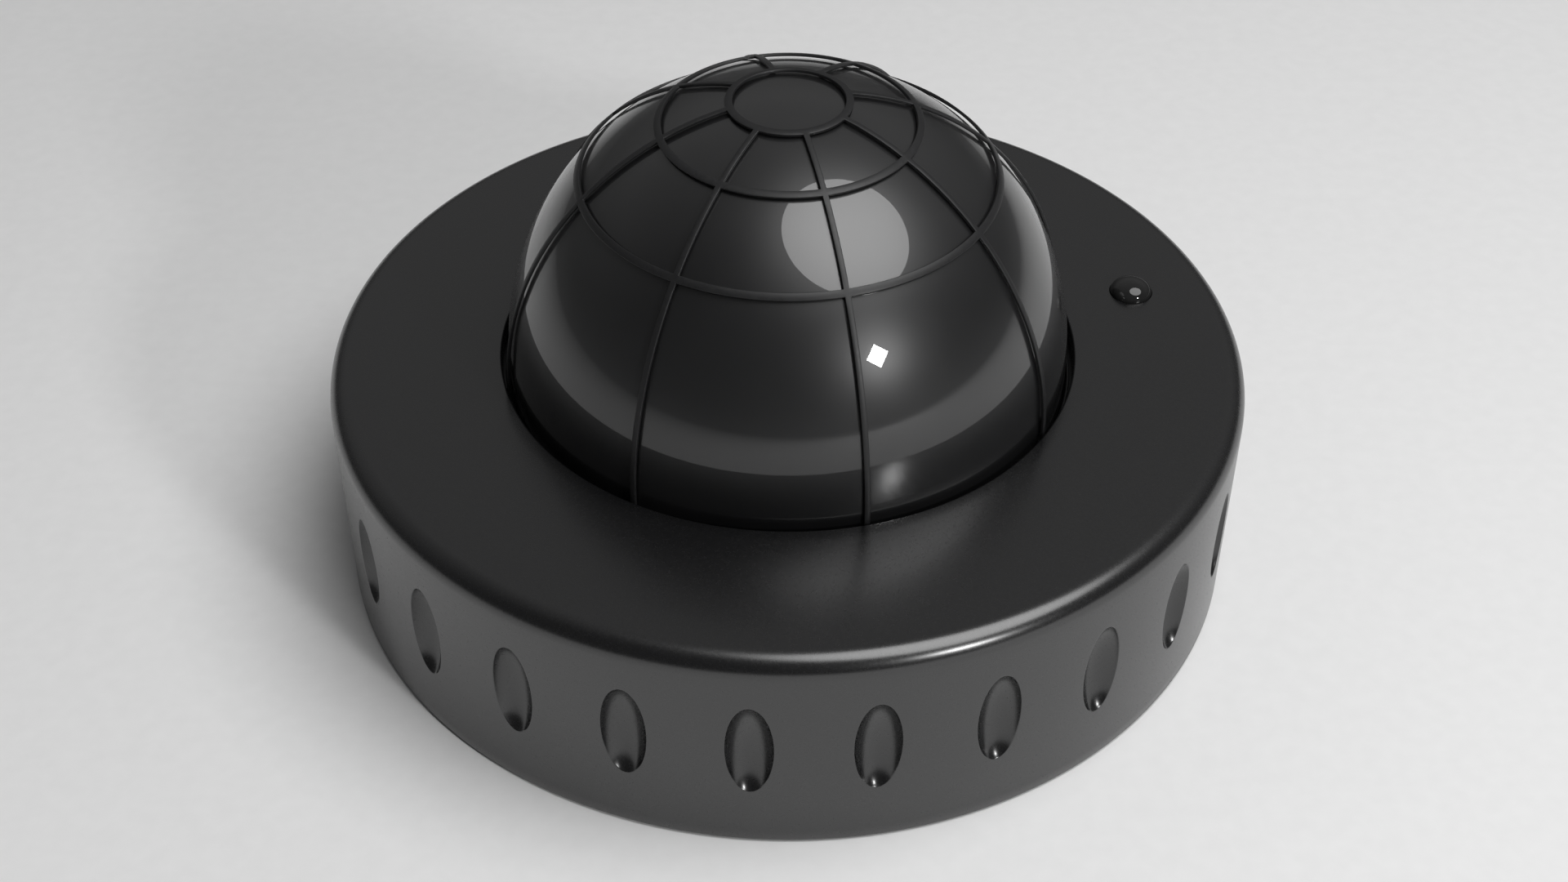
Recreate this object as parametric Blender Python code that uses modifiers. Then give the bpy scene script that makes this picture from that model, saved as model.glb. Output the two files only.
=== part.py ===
"""Dome security camera with a wire guard, lying on its mounting plate, dome up.

Units are metres and +Z is up. The origin is the centre of the mounting plate's underside, and -Y is
the front. Every size below is in millimetres and is turned into metres where a mesh is made.
Gaps of about 0.3 mm stay between pieces that touch.
"""
from math import asin, cos, degrees, radians, sin, sqrt

import bmesh
import bpy
from mathutils import Matrix, Vector

MM = 0.001
GAP = 0.3  # clearance between pieces that touch

# Driving dimensions
COVER_RADIUS = 75.0
COVER_TOP = 37.8
COVER_RIM = 0.4  # underside of the cover's wall
COVER_WALL = 3.0  # below the step, where the plate and its hooks go in
COVER_UPPER_WALL = 4.4  # behind the dimples
COVER_STEP_Z = (12.2, 13.6)
COVER_TOP_THICKNESS = 2.6
COVER_FILLET = 3.4
COVER_STEPS = 75

DIMPLE_COUNT = 25
DIMPLE_FIRST = -79.6  # angle of the first dimple from +X, in degrees
DIMPLE_HEIGHT = 20.0
DIMPLE_HALF_WIDTH = 3.6
DIMPLE_HALF_LENGTH = 8.8
DIMPLE_DEPTH = 2.8

OPENING_RADIUS = 47.0
DOME_RADIUS = 45.75
DOME_WALL = 2.0
CAGE_RADIUS = 46.6  # outer face of the bars
CAGE_THICKNESS = 0.55
CAGE_BAR_WIDTH = 1.0
CAGE_RING_WIDTH = 1.2
CAGE_BARS = 8
CAGE_FIRST_BAR = -75.0  # angle of the first bar from +X, in degrees
CAGE_RING_RADII = (9.3, 20.3, 33.1)

FLANGE_RADIUS = 55.0
CAGE_GASKET_Z = (34.1, 34.9)
CAGE_FLANGE_Z = (32.4, 33.8)
DOME_FLANGE_Z = (30.6, 32.1)
DOME_GASKET_Z = (29.5, 30.3)
CLAMP_Z = (27.4, 29.2)
CLAMP_SCREW_CIRCLE = 59.5
CLAMP_SCREW_ANGLES = (45.0, 135.0, 225.0, 315.0)
CLAMP_POST_RADIUS = 3.6

LED_CIRCLE = 59.8
LED_ANGLE = 13.3
LED_RADIUS = 3.5
LED_RISE = 2.2

PLATE_RADIUS = 70.2
PLATE_THICKNESS = 3.0
CABLE_HOLE_RADIUS = 8.0
HOOK_ANGLES = (60.0, 150.0, 240.0, 330.0)
HOOK_TOP = 11.4
SLOT_CIRCLE = 63.5
SLOT_ANGLES = (0.0, 90.0, 180.0, 270.0)
TAMPER_CIRCLE = 65.5
TAMPER_ANGLE = 215.0
TAMPER_TOP = 11.8

BOARD_RADII = (30.5, 60.5)
BOARD_Z = (9.0, 10.6)
BOARD_POST_CIRCLE = 55.0
BOARD_POST_ANGLES = (22.0, 138.0, 222.0, 318.0)

TILT_AXIS_Z = COVER_TOP
TURNTABLE_Z = (14.5, 17.0)
TURNTABLE_RADIUS = 34.0
YOKE_X = (21.3, 24.3)
CRADLE_RADII = (14.2, 17.0)
BODY_RADIUS = 13.8
BARREL_RADIUS = 7.3
RING_RADIUS = 11.4

SCREW_STEPS = 10
ROUND_STEPS = 30


# Scene and materials
for old in list(bpy.data.objects):
    bpy.data.objects.remove(old, do_unlink=True)
camera_parts = bpy.data.collections.new("security_camera")
cutters = bpy.data.collections.new("cutters")
bpy.context.scene.collection.children.link(camera_parts)
bpy.context.scene.collection.children.link(cutters)


def material(name, colour, roughness, metallic=0.0, alpha=1.0):
    made = bpy.data.materials.new(name)
    made.use_nodes = True
    shader = made.node_tree.nodes["Principled BSDF"]
    shader.inputs["Base Color"].default_value = (*colour, 1.0)
    shader.inputs["Roughness"].default_value = roughness
    shader.inputs["Metallic"].default_value = metallic
    shader.inputs["Alpha"].default_value = alpha
    return made


SATIN_BLACK = material("satin_black_plastic", (0.018, 0.018, 0.02), 0.42)
MATTE_BLACK = material("matte_black_metal", (0.02, 0.02, 0.021), 0.55, 0.3)
SMOKED = material("smoked_dome", (0.01, 0.01, 0.011), 0.06, 0.0, 0.6)
LENS_SMOKED = material("status_lens", (0.02, 0.02, 0.022), 0.08)
SEAL_RUBBER = material("black_rubber", (0.015, 0.015, 0.015), 0.8)
CAST_METAL = material("cast_metal", (0.35, 0.35, 0.36), 0.5, 1.0)
STEEL = material("steel", (0.55, 0.55, 0.56), 0.3, 1.0)
BRASS = material("brass", (0.6, 0.45, 0.2), 0.35, 1.0)
BOARD_GREEN = material("circuit_board", (0.02, 0.12, 0.05), 0.45)
DARK_PLASTIC = material("dark_plastic", (0.03, 0.03, 0.032), 0.5)
PALE_PLASTIC = material("pale_plastic", (0.5, 0.5, 0.48), 0.5)
GLASS = material("lens_glass", (0.05, 0.04, 0.08), 0.03)
CHIP = material("sensor_chip", (0.05, 0.05, 0.07), 0.2)


# Shape helpers
def add_object(name, mesh, look=None):
    made = bpy.data.objects.new(name, mesh)
    if look is None:
        cutters.objects.link(made)
        made.hide_render = True
        made.display_type = "WIRE"
    else:
        camera_parts.objects.link(made)
        mesh.materials.append(look)
    return made


def from_bmesh(name, shape, look=None, smooth=False):
    """Make an object of a bmesh whose sizes are in millimetres."""
    bmesh.ops.transform(shape, matrix=Matrix.Scale(MM, 4), verts=shape.verts)
    mesh = bpy.data.meshes.new(name)
    shape.to_mesh(mesh)
    shape.free()
    if smooth:
        mesh.shade_smooth()
        mesh.set_sharp_from_angle(angle=radians(35))
    return add_object(name, mesh, look)


def box(name, low, high, look=None):
    shape = bmesh.new()
    bmesh.ops.create_cube(shape, size=1.0)
    size = Vector(high) - Vector(low)
    middle = (Vector(high) + Vector(low)) / 2
    place = Matrix.Translation(middle) @ Matrix.Diagonal((*size, 1.0))
    bmesh.ops.transform(shape, matrix=place, verts=shape.verts)
    return from_bmesh(name, shape, look)


def rod(name, radius, low, high, look=None, centre=(0.0, 0.0), steps=SCREW_STEPS):
    """Make an upright cylinder from z low to z high."""
    shape = bmesh.new()
    bmesh.ops.create_cone(shape, cap_ends=True, segments=steps, radius1=radius, radius2=radius, depth=high - low)
    place = Matrix.Translation((*centre, (low + high) / 2))
    bmesh.ops.transform(shape, matrix=place, verts=shape.verts)
    return from_bmesh(name, shape, look, smooth=True)


def turned(name, profile, look=None, steps=ROUND_STEPS):
    """Turn an (r, z) profile about Z. It runs down the outer side and is closed unless it meets the axis."""
    closed = min(r for r, _ in profile) > 0
    mesh = bpy.data.meshes.new(name)
    count = len(profile)
    edges = [(i, i + 1) for i in range(count - 1)]
    if closed:
        edges.append((count - 1, 0))
    mesh.from_pydata([(r * MM, 0.0, z * MM) for r, z in profile], edges, [])
    made = add_object(name, mesh, look)
    screw = made.modifiers.new("turn", "SCREW")
    screw.steps = steps
    screw.render_steps = steps
    screw.use_merge_vertices = True
    screw.merge_threshold = 0.00001
    screw.use_smooth_shade = True
    return made


def ring(name, inner, outer, low, high, look=None, steps=ROUND_STEPS):
    return turned(name, [(outer, high), (outer, low), (inner, low), (inner, high)], look, steps)


def screw_piece(name, head_radius, head_z, shank_radius, shank_end, look):
    """Make a headed screw on the Z axis. Its shank runs from the head to shank_end, up or down."""
    low, high = head_z
    if shank_end > high:
        profile = [(0, shank_end), (shank_radius, shank_end), (shank_radius, high), (head_radius, high)]
        profile += [(head_radius, low + 0.3), (head_radius - 0.4, low), (0, low)]
    else:
        profile = [(0, high), (head_radius - 0.4, high), (head_radius, high - 0.3), (head_radius, low)]
        profile += [(shank_radius, low), (shank_radius, shank_end), (0, shank_end)]
    return turned(name, profile, look, SCREW_STEPS)


def combine(target, tool, operation="DIFFERENCE"):
    change = target.modifiers.new(tool.name, "BOOLEAN")
    change.operation = operation
    change.solver = "EXACT"
    change.object = tool


def place(made, radius, angle, z=0.0):
    """Move a piece made at the origin to a circle, turned so that its +X points outward."""
    turn = radians(angle)
    made.location = (radius * cos(turn) * MM, radius * sin(turn) * MM, z * MM)
    made.rotation_euler = (0.0, 0.0, turn)
    return made


def arc(centre, radius, start, end, count):
    """Points of an arc in the (r, z) plane, with angles in degrees from +r towards +z."""
    points = []
    for i in range(count + 1):
        turn = radians(start + (end - start) * i / count)
        points.append((centre[0] + radius * cos(turn), centre[1] + radius * sin(turn)))
    return points


def child_of(empty_name, location, pieces):
    """Put a moving body's pieces under an empty on its joint's axis, and leave them where they are."""
    pivot = bpy.data.objects.new(empty_name, None)
    camera_parts.objects.link(pivot)
    pivot.location = Vector(location) * MM
    for piece in pieces:
        piece.parent = pivot
        piece.matrix_parent_inverse = Matrix.Translation(-pivot.location)
    return pivot


# Cover: one moulded shell with finger dimples, clamp posts, bayonet tabs and a rib over the tamper switch
def make_cover():
    inner_wall = COVER_RADIUS - COVER_WALL
    upper_wall = COVER_RADIUS - COVER_UPPER_WALL
    ceiling = COVER_TOP - COVER_TOP_THICKNESS
    corner = (COVER_RADIUS - COVER_FILLET, COVER_TOP - COVER_FILLET)
    profile = [(OPENING_RADIUS, COVER_TOP - 0.4), (OPENING_RADIUS + 0.4, COVER_TOP)]
    profile += arc(corner, COVER_FILLET, 90, 0, 4)
    profile += [(COVER_RADIUS, COVER_RIM), (inner_wall, COVER_RIM)]
    profile += [(inner_wall, COVER_STEP_Z[0]), (upper_wall, COVER_STEP_Z[1])]
    profile += arc((upper_wall - 1.8, ceiling - 1.8), 1.8, 0, 90, 1)
    profile += [(OPENING_RADIUS, ceiling)]
    cover = turned("cover", profile, SATIN_BLACK, COVER_STEPS)
    for number in range(DIMPLE_COUNT):
        combine(cover, dimple_cutter(number))
    for number, angle in enumerate(CLAMP_SCREW_ANGLES, 1):
        post = rod(f"clamp_post_{number}", CLAMP_POST_RADIUS, DOME_GASKET_Z[0], ceiling + 0.5)
        combine(cover, place(post, CLAMP_SCREW_CIRCLE, angle), "UNION")
    for number, angle in enumerate(CLAMP_SCREW_ANGLES, 1):
        hole = rod(f"clamp_hole_{number}", 1.75, DOME_GASKET_Z[0] - 1, ceiling - 0.6)
        combine(cover, place(hole, CLAMP_SCREW_CIRCLE, angle))
    for number, angle in enumerate(HOOK_ANGLES, 1):
        tab = box(f"bayonet_tab_{number}", (68.9, -7.0, 6.0), (inner_wall + 0.8, 7.0, 9.0))
        combine(cover, place(tab, 0, angle), "UNION")
    rib = box("tamper_rib", (62.5, -2.0, TAMPER_TOP + GAP), (inner_wall + 0.8, 2.0, 24.0))
    combine(cover, place(rib, 0, TAMPER_ANGLE), "UNION")
    led_post = rod("led_post", 2.4, 28.5, ceiling + 0.5)
    combine(cover, place(led_post, LED_CIRCLE + 6.7, LED_ANGLE), "UNION")
    led_post_hole = rod("led_post_hole", 1.3, 27.5, ceiling - 0.8)
    combine(cover, place(led_post_hole, LED_CIRCLE + 6.7, LED_ANGLE))
    seat = [(0, COVER_TOP + 1), (LED_RADIUS + GAP, COVER_TOP + 1), (LED_RADIUS + GAP, COVER_TOP - 0.9)]
    seat += [(2.5, COVER_TOP - 0.9), (2.5, ceiling - 1), (0, ceiling - 1)]
    combine(cover, place(turned("led_seat", seat, None, 24), LED_CIRCLE, LED_ANGLE))
    return cover


def dimple_cutter(number):
    """An ellipsoid whose cut in the wall is an upright oval of the stated width, length and depth."""
    radial = DIMPLE_DEPTH + 0.1
    shrink = sqrt(1 - ((radial - DIMPLE_DEPTH) / radial) ** 2)
    shape = bmesh.new()
    bmesh.ops.create_uvsphere(shape, u_segments=14, v_segments=8, radius=1.0)
    size = Matrix.Diagonal((radial, DIMPLE_HALF_WIDTH / shrink, DIMPLE_HALF_LENGTH / shrink, 1.0))
    bmesh.ops.transform(shape, matrix=size, verts=shape.verts)
    cutter = from_bmesh(f"dimple_{number + 1}", shape)
    angle = DIMPLE_FIRST + number * 360 / DIMPLE_COUNT
    return place(cutter, COVER_RADIUS + radial - DIMPLE_DEPTH, angle, DIMPLE_HEIGHT)


# Dome, guard and the stack that clamps them under the cover
def make_dome():
    centre = (0, COVER_TOP)
    inner = DOME_RADIUS - DOME_WALL
    profile = [(0, COVER_TOP + DOME_RADIUS)] + arc(centre, DOME_RADIUS, 90, 0, 10)[1:]
    profile += [(DOME_RADIUS, DOME_FLANGE_Z[1]), (FLANGE_RADIUS, DOME_FLANGE_Z[1])]
    profile += [(FLANGE_RADIUS, DOME_FLANGE_Z[0]), (inner, DOME_FLANGE_Z[0])]
    profile += arc(centre, inner, 0, 90, 8)[:-1] + [(0, COVER_TOP + inner)]
    return turned("dome", profile, SMOKED, 40)


def make_guard_cage():
    """Foot ring, bars along meridians and rings across them, all flush on one sphere."""
    inner = CAGE_RADIUS - CAGE_THICKNESS
    foot = [(CAGE_RADIUS, CAGE_FLANGE_Z[1] + 0.5), (CAGE_RADIUS, CAGE_FLANGE_Z[1])]
    foot += [(FLANGE_RADIUS, CAGE_FLANGE_Z[1]), (FLANGE_RADIUS, CAGE_FLANGE_Z[0])]
    foot += [(inner, CAGE_FLANGE_Z[0]), (inner, CAGE_FLANGE_Z[1] + 0.5)]
    cage = turned("guard_cage", foot, MATTE_BLACK, 40)
    for number, radius in enumerate(CAGE_RING_RADII, 1):
        middle = asin(radius / CAGE_RADIUS)
        half = CAGE_RING_WIDTH / 2 / CAGE_RADIUS
        corners = ((CAGE_RADIUS, -half), (CAGE_RADIUS, half), (inner, half), (inner, -half))
        strip = [(reach * sin(middle + lean), COVER_TOP + reach * cos(middle + lean)) for reach, lean in corners]
        combine(cage, turned(f"cage_ring_{number}", strip, None, 40), "UNION")
    for number in range(CAGE_BARS):
        combine(cage, cage_bar(number), "UNION")
    return cage


def cage_bar(number):
    """A quarter hoop cut from a sphere shell: a flat arc outline, extruded to the strip's width."""
    top_angle = 90 - degrees(asin(CAGE_RING_RADII[0] / CAGE_RADIUS))
    inner = CAGE_RADIUS - CAGE_THICKNESS
    outline = [(CAGE_RADIUS - 0.02, CAGE_FLANGE_Z[0] + 0.4)]
    outline += arc((0, COVER_TOP), CAGE_RADIUS - 0.02, 0, top_angle, 9)
    outline += arc((0, COVER_TOP), inner + 0.02, top_angle, 0, 9)
    outline += [(inner + 0.02, CAGE_FLANGE_Z[0] + 0.4)]
    shape = bmesh.new()
    half = CAGE_BAR_WIDTH / 2
    near = [shape.verts.new((r, -half, z)) for r, z in outline]
    face = shape.faces.new(near)
    grown = bmesh.ops.extrude_face_region(shape, geom=[face])
    moved = [part for part in grown["geom"] if isinstance(part, bmesh.types.BMVert)]
    bmesh.ops.translate(shape, vec=(0, 2 * half, 0), verts=moved)
    bmesh.ops.recalc_face_normals(shape, faces=shape.faces)
    bar = from_bmesh(f"cage_bar_{number + 1}", shape)
    return place(bar, 0, CAGE_FIRST_BAR + number * 360 / CAGE_BARS)


def make_clamp_ring():
    clamp = ring("dome_clamp_ring", 45.5, 55.5, *CLAMP_Z, CAST_METAL)
    for number, angle in enumerate(CLAMP_SCREW_ANGLES, 1):
        ear = rod(f"clamp_ear_{number}", 4.6, CLAMP_Z[0], CLAMP_Z[1])
        combine(clamp, place(ear, CLAMP_SCREW_CIRCLE, angle), "UNION")
        neck = box(f"clamp_neck_{number}", (50.0, -4.0, CLAMP_Z[0]), (CLAMP_SCREW_CIRCLE, 4.0, CLAMP_Z[1]))
        combine(clamp, place(neck, 0, angle), "UNION")
    for number, angle in enumerate(CLAMP_SCREW_ANGLES, 1):
        hole = rod(f"clamp_ear_hole_{number}", 1.75, CLAMP_Z[0] - 1, CLAMP_Z[1] + 1)
        combine(clamp, place(hole, CLAMP_SCREW_CIRCLE, angle))
    return clamp


def make_clamp_stack():
    pieces = [
        ring("cage_gasket", 48.5, 54.5, *CAGE_GASKET_Z, SEAL_RUBBER),
        ring("dome_gasket", 46.0, 54.5, *DOME_GASKET_Z, SEAL_RUBBER),
        make_clamp_ring(),
    ]
    for number, angle in enumerate(CLAMP_SCREW_ANGLES, 1):
        head = (CLAMP_Z[0] - GAP - 1.9, CLAMP_Z[0] - GAP)
        made = screw_piece(f"dome_clamp_screw_{number}", 2.8, head, 1.4, COVER_TOP - 3.8, STEEL)
        pieces.append(place(made, CLAMP_SCREW_CIRCLE, angle))
    return pieces


# Status light: a lens in the cover's top face, over a small board on its own post
def make_status_light():
    seat = COVER_TOP - 0.9 + GAP
    shoulder = COVER_TOP
    bulge = (LED_RADIUS ** 2 + LED_RISE ** 2) / (2 * LED_RISE)
    half_angle = degrees(asin(LED_RADIUS / bulge))
    profile = [(0, shoulder + LED_RISE)]
    profile += arc((0, shoulder + LED_RISE - bulge), bulge, 90, 90 - half_angle, 5)[1:]
    profile += [(LED_RADIUS, seat), (2.2, seat), (2.2, 31.0), (0, 31.0)]
    lens = place(turned("led_lens", profile, LENS_SMOKED, 20), LED_CIRCLE, LED_ANGLE)
    board = box("led_board", (56.5, -4.5, 27.0), (69.3, 4.5, 28.2), BOARD_GREEN)
    hole = rod("led_board_hole", 1.3, 26.0, 29.0, None, (LED_CIRCLE + 6.7, 0.0))
    place(board, 0, LED_ANGLE)
    combine(board, place(hole, 0, LED_ANGLE))
    light = box("status_led", (-1.5, -1.5, 28.5), (1.5, 1.5, 30.3), PALE_PLASTIC)
    place(light, LED_CIRCLE, LED_ANGLE)
    fixing = screw_piece("led_board_screw", 2.0, (25.2, 26.7), 1.0, 33.0, STEEL)
    place(fixing, LED_CIRCLE + 6.7, LED_ANGLE)
    return [lens, board, light, fixing]


# Mounting plate: disc with bayonet hooks, screw slots and a cable hole
def make_base_plate():
    profile = [(PLATE_RADIUS, PLATE_THICKNESS), (PLATE_RADIUS, 0), (CABLE_HOLE_RADIUS, 0)]
    profile += [(CABLE_HOLE_RADIUS, PLATE_THICKNESS)]
    plate = turned("base_plate", profile, CAST_METAL, 48)
    for number, angle in enumerate(HOOK_ANGLES, 1):
        wall = box(f"hook_wall_{number}", (66.0, -10.0, 2.0), (68.5, 7.5, HOOK_TOP))
        lip = box(f"hook_lip_{number}", (66.2, -9.8, 9.4), (70.9, 7.3, HOOK_TOP - 0.2))
        stop = box(f"hook_stop_{number}", (66.4, -9.6, 2.2), (70.0, -7.9, HOOK_TOP - 0.4))
        for piece in (wall, lip, stop):
            combine(plate, place(piece, 0, angle), "UNION")
    for number, angle in enumerate(SLOT_ANGLES, 1):
        combine(plate, slot_cutter(number, angle))


def slot_cutter(number, angle):
    """An upright cutter with round ends, long along the plate's rim."""
    width, length = 5.0, 12.0
    shape = bmesh.new()
    bmesh.ops.create_cube(shape, size=1.0)
    size = Matrix.Diagonal((width, length, PLATE_THICKNESS + 2, 1.0))
    bmesh.ops.transform(shape, matrix=size, verts=shape.verts)
    upright = [edge for edge in shape.edges if abs(edge.verts[0].co.z - edge.verts[1].co.z) > 1]
    bmesh.ops.bevel(shape, geom=upright, offset=width / 2 - 0.05, segments=5, profile=0.5, affect="EDGES")
    cutter = from_bmesh(f"mount_slot_{number}", shape)
    return place(cutter, SLOT_CIRCLE, angle, PLATE_THICKNESS / 2)


def make_seals():
    section = arc((71.1, 1.7), 0.6, 90, -270, 6)[:-1]
    turned("cover_seal", section, SEAL_RUBBER, 48)
    grommet = [(8.6, 4.8), (8.6, PLATE_THICKNESS + GAP), (7.7, PLATE_THICKNESS + GAP), (7.7, 0.4)]
    grommet += [(4.0, 0.4), (4.0, 4.8)]
    turned("cable_grommet", grommet, SEAL_RUBBER, 32)


# Main board, its posts and screws, and what is soldered to it
def make_main_board():
    board = ring("main_board", *BOARD_RADII, *BOARD_Z, BOARD_GREEN)
    for number, angle in enumerate(BOARD_POST_ANGLES, 1):
        hole = rod(f"board_hole_{number}", 1.7, BOARD_Z[0] - 1, BOARD_Z[1] + 1)
        combine(board, place(hole, BOARD_POST_CIRCLE, angle))
        post = ring(f"board_post_{number}", 1.6, 3.0, PLATE_THICKNESS + GAP, BOARD_Z[0] - GAP, BRASS, 6)
        head = (BOARD_Z[1] + GAP, BOARD_Z[1] + GAP + 1.5)
        screw = screw_piece(f"board_screw_{number}", 2.6, head, 1.3, 4.5, STEEL)
        place(post, BOARD_POST_CIRCLE, angle)
        place(screw, BOARD_POST_CIRCLE, angle)


def make_connectors():
    on_board = BOARD_Z[1] + GAP
    jack = box("network_jack", (38.5, -8.0, on_board), (59.5, 8.0, 24.4), DARK_PLASTIC)
    place(jack, 0, 90)
    plug_hole = box("jack_hole", (45.0, -5.9, on_board + 2.0), (61.0, 5.9, on_board + 10.5))
    combine(jack, place(plug_hole, 0, 90))
    inlet = box("power_inlet", (43.0, 10.5, on_board), (56.0, 19.5, 21.9), DARK_PLASTIC)
    place(inlet, 0, 90)
    pin_hole = box("inlet_hole", (46.0, 12.2, on_board + 3.2), (57.0, 17.8, on_board + 8.8))
    combine(inlet, place(pin_hole, 0, 90))
    holder = box("card_slot", (40.0, -7.0, on_board), (56.0, 7.0, on_board + 2.4), STEEL)
    place(holder, 0, 180)
    card_way = box("card_way", (43.0, -5.8, on_board + 0.5), (57.0, 5.8, on_board + 1.9))
    combine(holder, place(card_way, 0, 180))
    card = box("memory_card", (43.5, -5.5, on_board + 0.8), (58.5, 5.5, on_board + 1.6), DARK_PLASTIC)
    place(card, 0, 180)


def make_switches():
    on_board = BOARD_Z[1] + GAP
    base = box("reset_switch", (-3.0, -3.0, on_board), (3.0, 3.0, on_board + 3.2), DARK_PLASTIC)
    place(base, 50.0, 250)
    well = rod("reset_well", 1.6, on_board + 1.0, on_board + 4.0)
    combine(base, place(well, 50.0, 250))
    button = rod("reset_button", 1.3, on_board + 2.2, on_board + 4.6, PALE_PLASTIC)
    place(button, 50.0, 250)
    body = box("tamper_switch", (-3.0, -3.0, PLATE_THICKNESS + GAP), (3.0, 3.0, 10.0), DARK_PLASTIC)
    place(body, TAMPER_CIRCLE, TAMPER_ANGLE)
    shaft = rod("tamper_well", 1.6, 4.4, 11.0)
    combine(body, place(shaft, TAMPER_CIRCLE, TAMPER_ANGLE))
    plunger = rod("tamper_plunger", 1.3, 6.4, TAMPER_TOP, PALE_PLASTIC)
    place(plunger, TAMPER_CIRCLE, TAMPER_ANGLE)


# Gimbal: turntable, yoke and tilting cradle
def make_pan_parts():
    low = PLATE_THICKNESS + GAP
    spool = [(28.0, 12.5), (28.0, 10.5), (20.0, 10.5), (20.0, low + 2), (28.0, low + 2), (28.0, low)]
    spool += [(9.2, low), (9.2, 12.5)]
    turned("pan_base", spool, CAST_METAL)
    ring("pan_bearing", 21.0, 25.0, 12.8, TURNTABLE_Z[0] - GAP, PALE_PLASTIC)
    top = TURNTABLE_Z[1]
    table = [(TURNTABLE_RADIUS, top), (TURNTABLE_RADIUS, TURNTABLE_Z[0]), (8.7, TURNTABLE_Z[0])]
    table += [(8.7, 5.4), (6.2, 5.4), (6.2, top)]
    turntable = turned("pan_turntable", table, DARK_PLASTIC)
    for side, x in (("left", -27.5), ("right", 27.5)):
        hole = rod(f"yoke_hole_{side}", 1.5, 15.4, top + 1, None, (x, 0.0))
        combine(turntable, hole)
    return turntable


def make_yoke(side, sign):
    """One arm: an upright with a round head for the pivot and a foot with a screw hole."""
    foot = TURNTABLE_Z[1] + GAP
    low, high = YOKE_X
    arm = box(f"yoke_{side}", (low, -9.0, foot), (high, 9.0, TILT_AXIS_Z), DARK_PLASTIC)
    head = rod(f"yoke_head_{side}", 8.98, low + 0.02, high - 0.02, steps=32)
    sole = box(f"yoke_foot_{side}", (low + 0.5, -6.0, foot + 0.01), (31.0, 6.0, foot + 2.2))
    bore = rod(f"yoke_bore_{side}", 2.5, low - 1, high + 1)
    hole = rod(f"yoke_foot_hole_{side}", 1.5, foot - 1, foot + 3, centre=(27.5, 0.0))
    screw_top = foot + 2.2 + GAP
    screw = screw_piece(f"yoke_screw_{side}", 2.4, (screw_top, screw_top + 1.4), 1.2, 15.8, STEEL)
    screw.location.x = sign * 27.5 * MM
    for piece in (head, bore):
        crosswise(piece, sign)
    for piece in (arm, sole, hole):
        place(piece, 0, 0 if sign > 0 else 180)
    combine(arm, head, "UNION")
    combine(arm, sole, "UNION")
    combine(arm, bore)
    combine(arm, hole)
    return [arm, screw]


def crosswise(piece, sign=1):
    """Lay a piece made along +Z on the tilt axis, pointing to +X or -X."""
    piece.location = (0.0, 0.0, TILT_AXIS_Z * MM)
    piece.rotation_euler = (0.0, radians(90 * sign), 0.0)
    return piece


def make_cradle():
    inner, outer = CRADLE_RADII
    z = TILT_AXIS_Z
    cradle = ring("tilt_cradle", inner, outer, z - 6, z + 6, DARK_PLASTIC)
    pieces = [cradle]
    for side, sign in (("left", -1), ("right", 1)):
        boss = crosswise(rod(f"cradle_boss_{side}", 4.6, 15.2, 21.0), sign)
        combine(cradle, boss, "UNION")
    for side, sign in (("left", -1), ("right", 1)):
        bore = crosswise(rod(f"cradle_bore_{side}", 2.5, 16.4, 22.0), sign)
        combine(cradle, bore)
        pivot = screw_piece(f"tilt_pivot_{side}", 4.0, (24.6, 26.6), 2.1, 17.0, STEEL)
        pieces.append(crosswise(pivot, sign))
    return pieces


# Camera module, which turns in the cradle about the lens axis
def make_module():
    z = TILT_AXIS_Z
    inner = BODY_RADIUS - 1.2
    shell = [(9.6, z + 8), (16.0, z + 8), (16.0, z + 6.3), (BODY_RADIUS, z + 6.3), (BODY_RADIUS, z - 10.5)]
    shell += [(inner, z - 10.5), (inner, z - 7.0), (9.6, z - 7.0)]
    body = turned("camera_body", shell, DARK_PLASTIC)
    retainer = ring("roll_ring", BODY_RADIUS + GAP, 16.2, z - 8.0, z - 6.3, PALE_PLASTIC)
    cap = turned("rear_cap", [(0, z - 10.8), (BODY_RADIUS, z - 10.8), (BODY_RADIUS, z - 13), (0, z - 13)], DARK_PLASTIC)
    board_profile = [(0, z - 7.3), (inner - GAP, z - 7.3), (inner - GAP, z - 8.5), (0, z - 8.5)]
    board = turned("sensor_board", board_profile, BOARD_GREEN)
    sensor = box("image_sensor", (-4.0, -3.5, z - 7.0), (4.0, 3.5, z - 5.6), CHIP)
    mount_profile = [(11.5, z + 9.8), (11.5, z + 8.3), (9.3, z + 8.3), (9.3, z - 4), (7.6, z - 4), (7.6, z + 9.8)]
    holder = turned("lens_mount", mount_profile, BRASS)
    return [body, retainer, cap, board, sensor, holder]


def make_lens():
    z = TILT_AXIS_Z
    barrel_profile = [(9.2, z + 31), (10.8, z + 31), (10.8, z + 20.6), (BARREL_RADIUS, z + 20.6)]
    barrel_profile += [(BARREL_RADIUS, z - 3.5), (6.0, z - 3.5), (6.0, z + 23), (9.2, z + 23)]
    barrel = turned("lens_barrel", barrel_profile, MATTE_BLACK)
    glass_profile = [(0, z + 30.0)] + arc((0, z + 10.0), 20.0, 90, 64.2, 6)[1:]
    glass_profile += [(8.8, z + 24.0), (0, z + 24.0)]
    glass = turned("front_glass", glass_profile, GLASS)
    hood_profile = [(13.4, z + 33.5), (13.4, z + 26), (11.1, z + 26), (11.1, z + 33.5)]
    return [barrel, glass, turned("lens_hood", hood_profile, SEAL_RUBBER)]


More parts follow.
